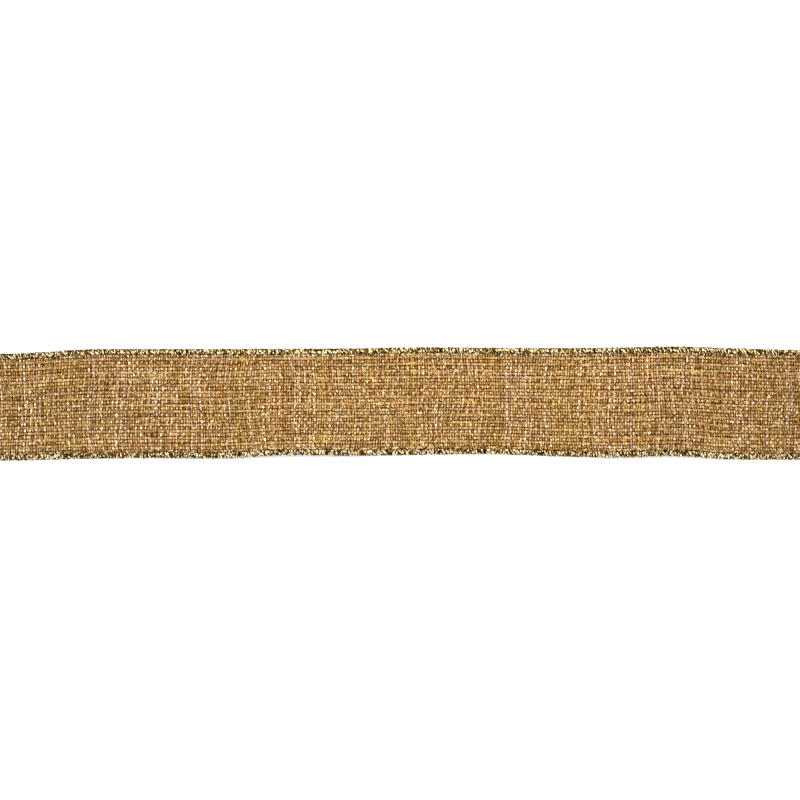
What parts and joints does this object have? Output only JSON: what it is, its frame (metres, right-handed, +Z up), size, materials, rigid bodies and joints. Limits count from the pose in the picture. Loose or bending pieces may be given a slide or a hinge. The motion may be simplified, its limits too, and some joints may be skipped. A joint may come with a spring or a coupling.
{
  "type": "ribbon spool",
  "caption": "Wired-edge woven ribbon wound on a card spool with round flanges and an open centre, its free end drawn out flat along the surface.",
  "frame": {"origin": "middle of the whole object's base, on the surface that it lies and stands on", "axes": "+X along the drawn-out ribbon from its cut end towards the spool, +Y along the spool's axis, +Z up"},
  "size_m": [0.4152, 0.0454, 0.108],
  "materials": {
    "woven_cloth": "plain weave of golden tan, straw and brown yarns",
    "gold_thread": "overlocked metallic gold thread with cream and dark flecks",
    "edge_wire": "thin lacquered dark wire",
    "greyboard": "raw grey-brown pasteboard with a layered edge",
    "kraft_paper": "uncoated brown kraft paper",
    "liner_paper": "uncoated pale brown liner paper",
    "label_paper": "semi-matt cream paper with plain printed rings",
    "paper_tube": "spiral-wound paper tube",
    "hot_glue": "translucent amber hot-melt glue",
    "tape": "clear buff adhesive tape"
  },
  "bodies": {
    "free_ribbon": {"tail_band": "woven_cloth", "tail_edge_near": "gold_thread", "tail_edge_far": "gold_thread", "tail_wire_near": "edge_wire", "tail_wire_far": "edge_wire"},
    "spool": {"winding_band": "woven_cloth", "winding_edge_near": "gold_thread", "winding_edge_far": "gold_thread", "core_tube": "paper_tube", "start_tape": "tape", "glue_bead_near": "hot_glue", "glue_bead_far": "hot_glue", "flange_liner_near": "liner_paper", "flange_board_near": "greyboard", "flange_face_near": "kraft_paper", "flange_label_near": "label_paper", "flange_liner_far": "liner_paper", "flange_board_far": "greyboard", "flange_face_far": "kraft_paper", "flange_label_far": "label_paper"}
  },
  "joints": [
    {"name": "spool_turn", "type": "hinge", "parent": "free_ribbon", "child": "spool", "pos_m": [0.1536, 0, 0.054], "axis": [0, 1, 0], "continuous": true}
  ]
}
